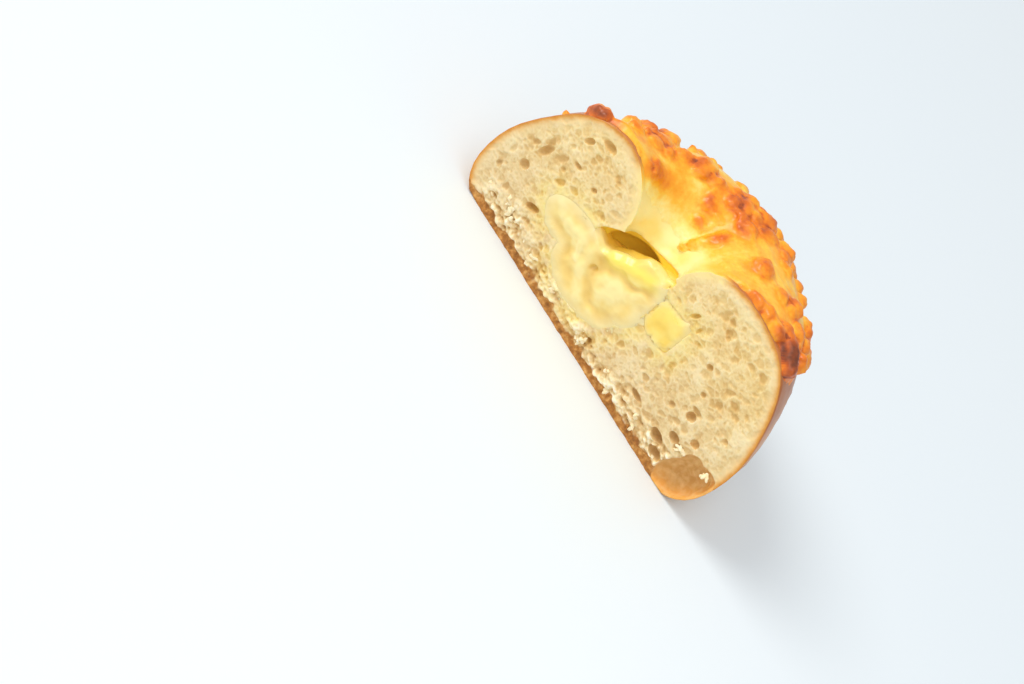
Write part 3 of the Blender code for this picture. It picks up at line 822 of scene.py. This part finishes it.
def shape_dice():
    piece = remeshed("diced_cheese", merged_copy("cheese_cube"), 0.26, 70)
    mesh = piece.data
    points, _, cut, past = fill_hole(mesh, DICE_SMEAR)
    border = smooth_step(past, -0.6, 0.9)
    sag = 0.5 * grain(points, 5.0, 2, 1.0)
    points[:, 1] += cut * (sag + 0.5 * border ** 2 - 0.1)
    write_points(mesh, off_ruler(points))
    from_corner = np.linalg.norm(points - np.array(WET_CORNER), axis=1)
    paint(mesh, rich=smooth_step(8.0 - from_corner, 0.0, 7.0), border=smooth_step(past, -2.2, 1.2) * cut,
          hollow=np.clip(sag, -1.0, 1.0), inward=points[:, 1])
    mesh.shade_smooth()
    print("dice is", round(float(np.ptp(points[:, 0])), 1), "mm wide")
    return piece


dice = shape_dice()

# %% [markdown]
# ## Torn crumbs
# A knife tears soft crumb near the crust, and shreds stay hanging on the cut.
# Each shred is a small ball, stretched, torn out of shape by noise, turned, and
# set half into the face. They are one piece, because they share a finish.

# %% Scatter the shreds
PLACED_SHREDS = [                        # (along, up, length, how far out)
    (45.3, 14.2, 1.9, 1.0), (44.2, 13.0, 1.3, 0.9), (36.8, 11.4, 2.0, 0.5), (35.2, 10.6, 1.5, 0.5),
    (14.9, 3.0, 2.2, 0.6), (17.2, 4.6, 1.5, 0.6), (-33.6, 6.9, 2.4, 0.7), (-31.8, 6.1, 1.7, 0.6),
    (-36.0, 8.0, 1.6, 0.5), (2.5, 4.2, 1.8, 0.6), (24.0, 6.4, 1.8, 0.5), (-12.5, 5.0, 1.7, 0.6),
    (26.8, 3.4, 1.5, 0.7), (-22.0, 5.2, 1.8, 0.6)]
SCATTERED_SHREDS = 18


def shred(bm, along, up, length, out):
    made = bmesh.ops.create_icosphere(bm, subdivisions=3, radius=0.6 * MM)["verts"]
    stretch = (length, rng.uniform(0.6, 0.9), rng.uniform(0.45, 0.75) * length ** 0.5)
    bmesh.ops.scale(bm, vec=stretch, verts=made)
    own = Vector((along, up, length))
    for vert in made:
        torn = 0.7 * noise.noise(vert.co / (0.6 * MM) + own)
        torn += 0.18 * noise.noise(vert.co / (0.3 * MM) - own)
        vert.co *= max(1 + torn, 0.35)
    turn = Matrix.Rotation(rng.uniform(0, math.tau), 3, "Y") @ Matrix.Rotation(rng.normal(0, 0.5), 3, "Z")
    bmesh.ops.rotate(bm, matrix=turn, verts=made)
    bmesh.ops.translate(bm, vec=off_ruler([along, 0.5 - out * 0.5, up]), verts=made)


def torn_crumbs():
    bm = bmesh.new()
    for along, up, length, out in PLACED_SHREDS:
        for _ in range(2):
            beside, above = rng.normal(0, 0.5), rng.normal(0, 0.5)
            shred(bm, along + beside, up + above, length * rng.uniform(0.8, 1.2), out)
    for _ in range(SCATTERED_SHREDS):
        along, up = rng.uniform(-44, 36), 2.8 + 5.0 * rng.random() ** 1.3
        shred(bm, along, up, rng.uniform(0.7, 1.8), rng.uniform(0.0, 0.6))
    piece = new_piece("torn_crumbs", bm)
    piece.data.shade_smooth()
    print(len(PLACED_SHREDS) * 2 + SCATTERED_SHREDS, "shreds with", len(piece.data.polygons), "faces")
    return piece


crumbs = torn_crumbs()

# %% [markdown]
# ## Colours and nodes
# A colour read off a screen is coded for the eye, so one function turns it to
# the linear light that shaders add and mix. One more function adds a node, sets
# it and links it, which keeps each material short enough to read, and two others
# start and end a material.

# %% Material helpers
def linear(code, alpha=1.0):
    """Linear colour of an sRGB hex code."""
    channels = [int(code[i:i + 2], 16) / 255 for i in (1, 3, 5)]
    return tuple(c / 12.92 if c <= 0.04045 else ((c + 0.055) / 1.055) ** 2.4 for c in channels) + (alpha,)


def add(tree, kind, out=0, settings=None, stops=(), **inputs):
    """Add a node, set it and link it; return one of its outputs.

    An input goes by its name, or by its place after an underscore. It is a value, a hex
    colour or another node's output. Stops are a colour ramp's (position, hex colour) pairs.
    """
    node = tree.nodes.new("ShaderNode" + kind)
    for name, value in (settings or {}).items():
        setattr(node, name, value)
    for name, value in inputs.items():
        socket = node.inputs[int(name[1:]) if name[0] == "_" else name.replace("_", " ")]
        if isinstance(value, bpy.types.NodeSocket):
            tree.links.new(value, socket)
        else:
            socket.default_value = linear(value) if isinstance(value, str) else value
    for index, (position, code) in enumerate(stops):
        if index > 1:
            node.color_ramp.elements.new(1.0)
        node.color_ramp.elements[index].position = position
        node.color_ramp.elements[index].color = linear(code)
    return node.outputs[out]


def new_material(name, **constants):
    """Material with its constants set on the shader itself; its nodes, and the place on the piece."""
    material = bpy.data.materials.new(name)
    material.use_nodes = True
    tree = material.node_tree
    for socket, value in constants.items():
        tree.nodes["Principled BSDF"].inputs[socket.replace("_", " ")].default_value = value
    return material, tree, add(tree, "TexCoord", "Object")


def finished(material, **outputs):
    """The material once its shader takes the given outputs."""
    tree = material.node_tree
    for socket, output in outputs.items():
        tree.links.new(output, tree.nodes["Principled BSDF"].inputs[socket.replace("_", " ")])
    print(material.name, "has", len(tree.nodes), "nodes")
    return material


BLEND = {"data_type": "RGBA"}
SUM = {"operation": "ADD"}
PRODUCT = {"operation": "MULTIPLY"}
MIDDLE = {"From_Min": 0.3, "From_Max": 0.7}    # noise seldom goes outside these
print("a mid grey of #808080 is", round(linear("#808080")[0], 3), "in linear light")

# %% [markdown]
# ## Baked dough
# Crust and crumb are the same dough, so they are one material. Crumb is matt
# and lets light a little way into its thin webs: cream where it is raised, tan in
# its pores, the darker tan partly painted shade, a yellower ramp higher up as
# painted light from above, and yellow where melted cheese soaked into it. Light
# seeping through keeps it soft to the eye and not like stone.

# %% Crumb colour
SOAKED = 7.5


def crumb_colour(tree, place, fine):
    level, pit, near = (add(tree, "Attribute", "Fac", {"attribute_name": painted})
                        for painted in ("level", "pit", "near_cheese"))
    speck = add(tree, "MapRange", Value=fine, **MIDDLE, To_Min=-0.04, To_Max=0.04)
    # painted shade: deeper pits take the darker tans of the ramps
    deep = add(tree, "MapRange", Value=pit, From_Min=-0.8, From_Max=1.0)
    pored = add(tree, "Math", 0, SUM, _0=deep, _1=speck)
    low = add(tree, "ValToRGB", Fac=pored, stops=[
        (0.0, "#FDF0D4"), (0.2, "#F3DFB4"), (0.38, "#E7CC98"),
        (0.58, "#DAB67C"), (0.8, "#C89C5E"), (1.0, "#A07038")])
    high = add(tree, "ValToRGB", Fac=pored, stops=[
        (0.0, "#FBEABE"), (0.3, "#F4DA9C"), (0.5, "#E9C57C"), (0.75, "#D6A858"), (1.0, "#B88236")])
    # painted light: higher up the crumb takes the yellower ramp, standing in for more light from above
    painted_top_light = add(tree, "MapRange", Value=level, From_Min=10.0, From_Max=38.0, To_Max=0.65)
    crumb = add(tree, "Mix", 2, BLEND, _0=painted_top_light, _6=low, _7=high)
    close = add(tree, "MapRange", Value=near, From_Min=0.2, From_Max=SOAKED, To_Min=0.95, To_Max=0.0)
    cloud = add(tree, "TexNoise", "Fac", Vector=place, Scale=1 / (3.0 * MM), Detail=3.0)
    patch = add(tree, "MapRange", Value=cloud, From_Min=0.3, From_Max=0.55)
    stained = add(tree, "Math", 0, PRODUCT, _0=close, _1=patch)
    soaked = add(tree, "ValToRGB", Fac=pored, stops=[
        (0.0, "#FCEDB4"), (0.4, "#F5DC8C"), (0.65, "#E6BE5A"), (1.0, "#C48E24")])
    return add(tree, "Mix", 2, BLEND, _0=stained, _6=crumb, _7=soaked)


print("crumb takes up melted cheese up to", SOAKED, "mm away")

# %% [markdown]
# ## Crust
# Crust is a golden line on the cut that pales inwards, and a smooth, browner skin
# outside. Its tone goes with height: pale and pinkish low down, where the next
# roll shaded it in the oven, and deep gold on the shoulder. The foot, baked on
# the tray, is a rough brown band.

# %% Crust colour
TOAST = [(0.0, "#FFEFA6"), (0.14, "#FFE07C"), (0.28, "#FEC542"), (0.42, "#FCA81C"),
         (0.57, "#F28C12"), (0.72, "#DA6C10"), (0.86, "#B05014"), (1.0, "#7A3A1A")]


def crust_colours(tree, place, fine):
    """Colours of the crust's edge on the cut and of the skin outside."""
    depth, bowl, level, toast = (add(tree, "Attribute", "Fac", {"attribute_name": painted})
                                 for painted in ("crust_depth", "bowl", "level", "toast"))
    waves = add(tree, "TexNoise", "Fac", Vector=place, Scale=1 / (2.0 * MM), Detail=3.0)
    sway = add(tree, "MapRange", Value=waves, From_Min=0.2, From_Max=0.8, To_Min=-0.35, To_Max=0.35)
    line = add(tree, "Math", 0, SUM, _0=depth, _1=sway)
    inwards = add(tree, "MapRange", Value=line, From_Max=3.2)
    edge = add(tree, "ValToRGB", Fac=inwards, stops=[
        (0.0, "#CF8630"), (0.2, "#E2A552"), (0.45, "#EEC88A"), (1.0, "#F3DFB4")])
    edge = add(tree, "Mix", 2, BLEND, _0=bowl, _6=edge, _7="#FADF98")
    lifted = add(tree, "MapRange", Value=level, From_Min=3.0, From_Max=36.0, To_Max=0.62)
    broad = add(tree, "TexNoise", "Fac", Vector=place, Scale=1 / (11.0 * MM), Detail=2.0)
    mottle = add(tree, "MapRange", Value=broad, **MIDDLE, To_Max=0.3)
    speck = add(tree, "MapRange", Value=fine, **MIDDLE, To_Max=0.06)
    tone = add(tree, "Math", 0, SUM, _0=mottle, _1=speck)
    baked = add(tree, "Math", 0, SUM, _0=lifted, _1=tone)
    skin = add(tree, "ValToRGB", Fac=baked, stops=[
        (0.0, "#E8B56E"), (0.3, "#DD9E54"), (0.62, "#CB8040"), (1.0, "#A8602C")])
    melted = add(tree, "ValToRGB", Fac=toast, stops=TOAST)
    return line, edge, add(tree, "Mix", 2, BLEND, _0=bowl, _6=skin, _7=melted)


print("toast runs through", len(TOAST), "colours")

# %% [markdown]
# ## One material for the bread
# The painted attributes decide which colour shows where, and the colours are laid
# over one another like coats, from the crust's edge outwards. Two hollows are not
# crumb: the pocket is lined with melted cheese, and the side bubble has the
# smooth tan wall that steam leaves, with painted shade that darkens it the deeper
# it goes. Roughness parts the dull crumb from the faint shine of the skin.

# %% Bread material
def baked_dough():
    material, tree, place = new_material(
        "baked_dough", Subsurface_Weight=0.25, Subsurface_Radius=(1.0, 0.7, 0.4), Subsurface_Scale=0.8 * MM)
    shell, inward, depth, foot, pocket = (
        add(tree, "Attribute", "Fac", {"attribute_name": painted})
        for painted in ("shell", "inward", "crust_depth", "foot", "pocket"))
    fine = add(tree, "TexNoise", "Fac", Vector=place, Scale=1 / (0.7 * MM), Detail=3.0)
    crumb = crumb_colour(tree, place, fine)
    line, edge, skin = crust_colours(tree, place, fine)
    under = add(tree, "MapRange", Value=line, From_Min=0.5, From_Max=3.0)
    lip = add(tree, "MapRange", Value=line, From_Min=0.4, From_Max=4.0)
    steamed = add(tree, "ValToRGB", Fac=lip, stops=[(0.0, "#ECA84E"), (0.5, "#E0AC62"), (1.0, "#D4A560")])
    # painted shade: the side bubble's wall turns darker brown the deeper it goes
    painted_bubble_shade = add(tree, "MapRange", Value=inward, From_Min=2.0, From_Max=5.0, To_Max=0.45)
    steamed = add(tree, "Mix", 2, BLEND, _0=painted_bubble_shade, _6=steamed, _7="#B87E38")
    cloudy = add(tree, "TexNoise", "Fac", Vector=place, Scale=1 / (1.6 * MM), Detail=3.0)
    cloudy = add(tree, "MapRange", Value=cloudy, From_Min=0.4, From_Max=0.75, To_Max=0.6)
    steamed = add(tree, "Mix", 2, BLEND, _0=cloudy, _6=steamed, _7="#EEC98C")

    outer = add(tree, "MapRange", Value=depth, From_Max=0.12, To_Min=1.0, To_Max=0.0)
    grit = add(tree, "TexNoise", "Fac", Vector=place, Scale=1 / (1.4 * MM), Detail=3.0)
    singed = add(tree, "MapRange", Value=grit, From_Min=0.32, From_Max=0.68)
    tray = add(tree, "ValToRGB", Fac=singed, stops=[(0.0, "#95602A"), (0.5, "#B97B36"), (1.0, "#DDA65E")])
    inside = add(tree, "MapRange", Value=inward, From_Max=6.0)
    melted = add(tree, "ValToRGB", Fac=inside, stops=[
        (0.0, "#FDE896"), (0.25, "#FFE05E"), (0.6, "#FFD944"), (1.0, "#FFD43A")])
    colour = edge
    for share, over in [(under, crumb), (shell, steamed), (outer, skin), (foot, tray), (pocket, melted)]:
        colour = add(tree, "Mix", 2, BLEND, _0=share, _6=colour, _7=over)

    rough = add(tree, "MapRange", Value=outer, To_Min=0.85, To_Max=0.36)
    sand = add(tree, "TexNoise", "Fac", Vector=place, Scale=1 / (0.55 * MM), Detail=3.0)
    dull = add(tree, "MapRange", Value=outer, To_Min=1.0, To_Max=0.12)
    sand = add(tree, "Math", 0, PRODUCT, _0=sand, _1=dull)
    bump = add(tree, "Bump", "Normal", Height=sand, Strength=0.25, Distance=0.2 * MM)
    return finished(material, Base_Color=colour, Roughness=rough, Normal=bump)


bread_finish = baked_dough()

# %% [markdown]
# ## Finish of the toasted cheese
# Toasted cheese is fatty and glossy, and light goes a little way into it, which
# gives the eye the glow at the thin edges of its lumps. Its ramp runs from pale
# yellow over orange to the dark red brown of the burnt creases.

# %% Topping material
def toasted_cheese():
    material, tree, place = new_material(
        "toasted_cheese", Roughness=0.36, Subsurface_Weight=0.16, Subsurface_Radius=(1.0, 0.6, 0.2),
        Subsurface_Scale=0.9 * MM)
    spots = add(tree, "TexNoise", "Fac", Vector=place, Scale=1 / (1.1 * MM), Detail=3.0)
    speck = add(tree, "MapRange", Value=spots, **MIDDLE, To_Min=-0.045, To_Max=0.045)
    toast = add(tree, "Attribute", "Fac", {"attribute_name": "toast"})
    toast = add(tree, "Math", 0, SUM, _0=toast, _1=speck)
    colour = add(tree, "ValToRGB", Fac=toast, stops=TOAST)
    skin = add(tree, "TexNoise", "Fac", Vector=place, Scale=1 / (0.9 * MM), Detail=3.0)
    bump = add(tree, "Bump", "Normal", Height=skin, Strength=0.2, Distance=0.15 * MM)
    return finished(material, Base_Color=colour, Normal=bump)


topping_finish = toasted_cheese()

# %% [markdown]
# ## Melted and diced cheese
# Processed cheese is even, waxy and wet: low roughness gives the soft lights on
# its folds, and light that travels far inside makes it look creamy. Its hollows
# are a deeper gold than its ridges, partly its own tone and partly painted shade,
# and where it thins out at its border the crumb beneath shows through.

# %% Cheese materials
def processed_cheese(name, ridge, flat, dip, rich):
    """Processed cheese: colours of its ridges, its flats and its dips, the dips partly painted shade, and
    of its freshest part, which on the filling is a painted highlight band.
    """
    material, tree, place = new_material(
        name, Roughness=0.22, Subsurface_Weight=0.2, Subsurface_Radius=(1.0, 0.8, 0.5),
        Subsurface_Scale=0.8 * MM)
    hollow, fresh, border, inward = (add(tree, "Attribute", "Fac", {"attribute_name": painted})
                                     for painted in ("hollow", "rich", "border", "inward"))
    cloud = add(tree, "TexNoise", "Fac", Vector=place, Scale=1 / (5.0 * MM), Detail=2.0)
    drift = add(tree, "MapRange", Value=cloud, **MIDDLE, To_Min=-0.25, To_Max=0.25)
    # partly painted shade: dents take the deeper dip colour, ridges the paler one
    sunk = add(tree, "MapRange", Value=hollow, From_Min=-0.7, From_Max=0.8)
    tone = add(tree, "Math", 0, SUM, _0=sunk, _1=drift)
    colour = add(tree, "ValToRGB", Fac=tone, stops=[(0.1, ridge), (0.5, flat), (0.95, dip)])
    thin = add(tree, "MapRange", Value=border, From_Min=0.1, To_Max=0.9)
    behind = add(tree, "MapRange", Value=inward, From_Min=1.6, From_Max=4.0, To_Max=0.85)
    # on the filling this first coat is a painted highlight band, on the dice its fresh corner
    for share, over in [(fresh, rich), (thin, "#F1DFA6"), (behind, "#F7CC48")]:
        colour = add(tree, "Mix", 2, BLEND, _0=share, _6=colour, _7=over)
    ripple = add(tree, "TexNoise", "Fac", Vector=place, Scale=1 / (1.8 * MM), Detail=2.0)
    bump = add(tree, "Bump", "Normal", Height=ripple, Strength=0.15, Distance=0.2 * MM)
    return finished(material, Base_Color=colour, Normal=bump)


filling_finish = processed_cheese("melted_cheese", "#FFE8A0", "#F8D780", "#ECC468", "#FFE066")
dice_finish = processed_cheese("diced_cheese", "#FFE27C", "#FAD25C", "#F0C048", "#FFE274")

# %% [markdown]
# ## Finish of the shreds
# Shreds on the cut are the same crumb, lit all round, so they look the palest of
# all: dry, matt and soft.

# %% Crumb material
def torn_crumb():
    material, tree, place = new_material(
        "torn_crumb", Roughness=0.85, Subsurface_Weight=0.12, Subsurface_Radius=(1.0, 0.8, 0.6),
        Subsurface_Scale=0.4 * MM)
    cloud = add(tree, "TexNoise", "Fac", Vector=place, Scale=1 / (1.2 * MM), Detail=3.0)
    tone = add(tree, "MapRange", Value=cloud, From_Min=0.35, From_Max=0.65)
    colour = add(tree, "Mix", 2, BLEND, _0=tone, _6="#FFF0CC", _7="#F6E0B0")
    return finished(material, Base_Color=colour)


shred_finish = torn_crumb()

# %% [markdown]
# ## Hand the pieces to the frame
# Each piece stands for its solid and rides on the one body.

# %% Dress the frame
DRESSED = [(bread, "bread", bread_finish), (topping, "cheese_topping", topping_finish),
           (filling, "cheese_filling", filling_finish), (dice, "cheese_cube", dice_finish)]
for piece, node, finish in DRESSED:
    piece.data.materials.clear()
    piece.data.materials.append(finish)
    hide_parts(node)
    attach(piece, "root")
    print(piece.name, len(piece.data.polygons), "faces")

crumbs.data.materials.append(shred_finish)
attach(crumbs, "root")

# %% [markdown]
# ## Floor
# Food is photographed on a pale, even table, so that only the food has colour. A
# wide disc does for it, with a faint drift in its tint, as a flat white looks empty.

# %% Floor
def pale_floor():
    bm = bmesh.new()
    bmesh.ops.create_circle(bm, cap_ends=True, segments=64, radius=3.0)
    floor = new_piece("floor", bm)
    material, tree, place = new_material("pale_floor", Roughness=0.6)
    cloud = add(tree, "TexNoise", "Fac", Vector=place, Scale=1 / 0.4, Detail=1.0)
    tone = add(tree, "MapRange", Value=cloud, **MIDDLE)
    colour = add(tree, "Mix", 2, BLEND, _0=tone, _6="#EAF3F9", _7="#EFF6FA")
    floor.data.materials.append(finished(material, Base_Color=colour))
    print("floor is", floor.dimensions.x, "m across")


pale_floor()

# %% [markdown]
# ## Light
# A kitchen picture is lit by one large window. A wide disc of light to the left
# and above is the window, and its size makes the shadows soft. Two weak discs
# open the shadows on the cut and in the dimple, where light from the room falls.

# %% Lights
def soft_light(name, place, size, power, tint):
    lamp = bpy.data.lights.new(name, "AREA")
    lamp.shape = "DISK"
    lamp.size = size
    lamp.energy = power
    lamp.color = linear(tint)[:3]
    light = bpy.data.objects.new(name, lamp)
    light.location = place
    light.rotation_euler = (Vector((0, 0, 0.02)) - Vector(place)).to_track_quat("-Z", "Y").to_euler()
    bpy.context.scene.collection.objects.link(light)


soft_light("key", (-1.7, -0.6, 1.62), 1.19, 30.2, "#FFFDF8")
soft_light("front_fill", (0.2, -1.3, 0.75), 0.9, 3.0, "#FFFDFA")
soft_light("overhead", (0.05, -0.24, 0.5), 0.3, 0.45, "#FFFBF2")
world = bpy.data.worlds.new("studio")
world.use_nodes = True
world.node_tree.nodes["Background"].inputs["Color"].default_value = linear("#FAFCFF")
world.node_tree.nodes["Background"].inputs["Strength"].default_value = 0.6
bpy.context.scene.world = world
bpy.context.scene.view_settings.view_transform = "Standard"
lamps = [ob for ob in bpy.context.scene.objects if ob.type == "LIGHT"]
print("lights have", [round(lamp.data.energy, 2) for lamp in lamps], "watts")

# %% [markdown]
# ## Camera
# The camera looks down at the cut and is rolled, so that the roll leans in the
# frame as it does in the photograph. It is close, as the slit shows its far wall
# only from near by. Turning it about its own lens puts the aim where it belongs.

# %% Camera
ELEVATION, TURN, ROLL = math.radians(33), math.radians(3), math.radians(56)
DISTANCE = 0.6                           # metres, close enough to see into the slit
LENS_PIXELS = 2500.0                     # focal length in pixels of a picture 1024 wide
PICTURE = (1024, 684)
AIM_PIXEL = (603.0, 317.0)               # where the aim point falls in the photograph
AIM = Vector(off_ruler([0.0, 0.0, 13.4]))


def leaning_camera():
    toward = Vector((math.sin(TURN) * math.cos(ELEVATION), -math.cos(TURN) * math.cos(ELEVATION),
                     math.sin(ELEVATION)))
    level = toward.to_track_quat("Z", "Y").to_matrix()
    rolled = level @ Matrix.Rotation(ROLL, 3, "Z")
    ray = Vector(((AIM_PIXEL[0] - PICTURE[0] / 2) / LENS_PIXELS,
                  -(AIM_PIXEL[1] - PICTURE[1] / 2) / LENS_PIXELS, -1.0)).normalized()
    off_axis = ray.rotation_difference(Vector((0, 0, -1))).to_matrix()
    lens = bpy.data.cameras.new("camera")
    lens.sensor_width = 36.0
    lens.lens = LENS_PIXELS / PICTURE[0] * lens.sensor_width
    lens.clip_start = 0.01
    camera = bpy.data.objects.new("camera", lens)
    camera.matrix_world = Matrix.Translation(AIM + toward * DISTANCE) @ (rolled @ off_axis).to_4x4()
    bpy.context.scene.collection.objects.link(camera)
    bpy.context.scene.camera = camera
    print("camera is at", [round(value, 3) for value in camera.matrix_world.translation])


leaning_camera()
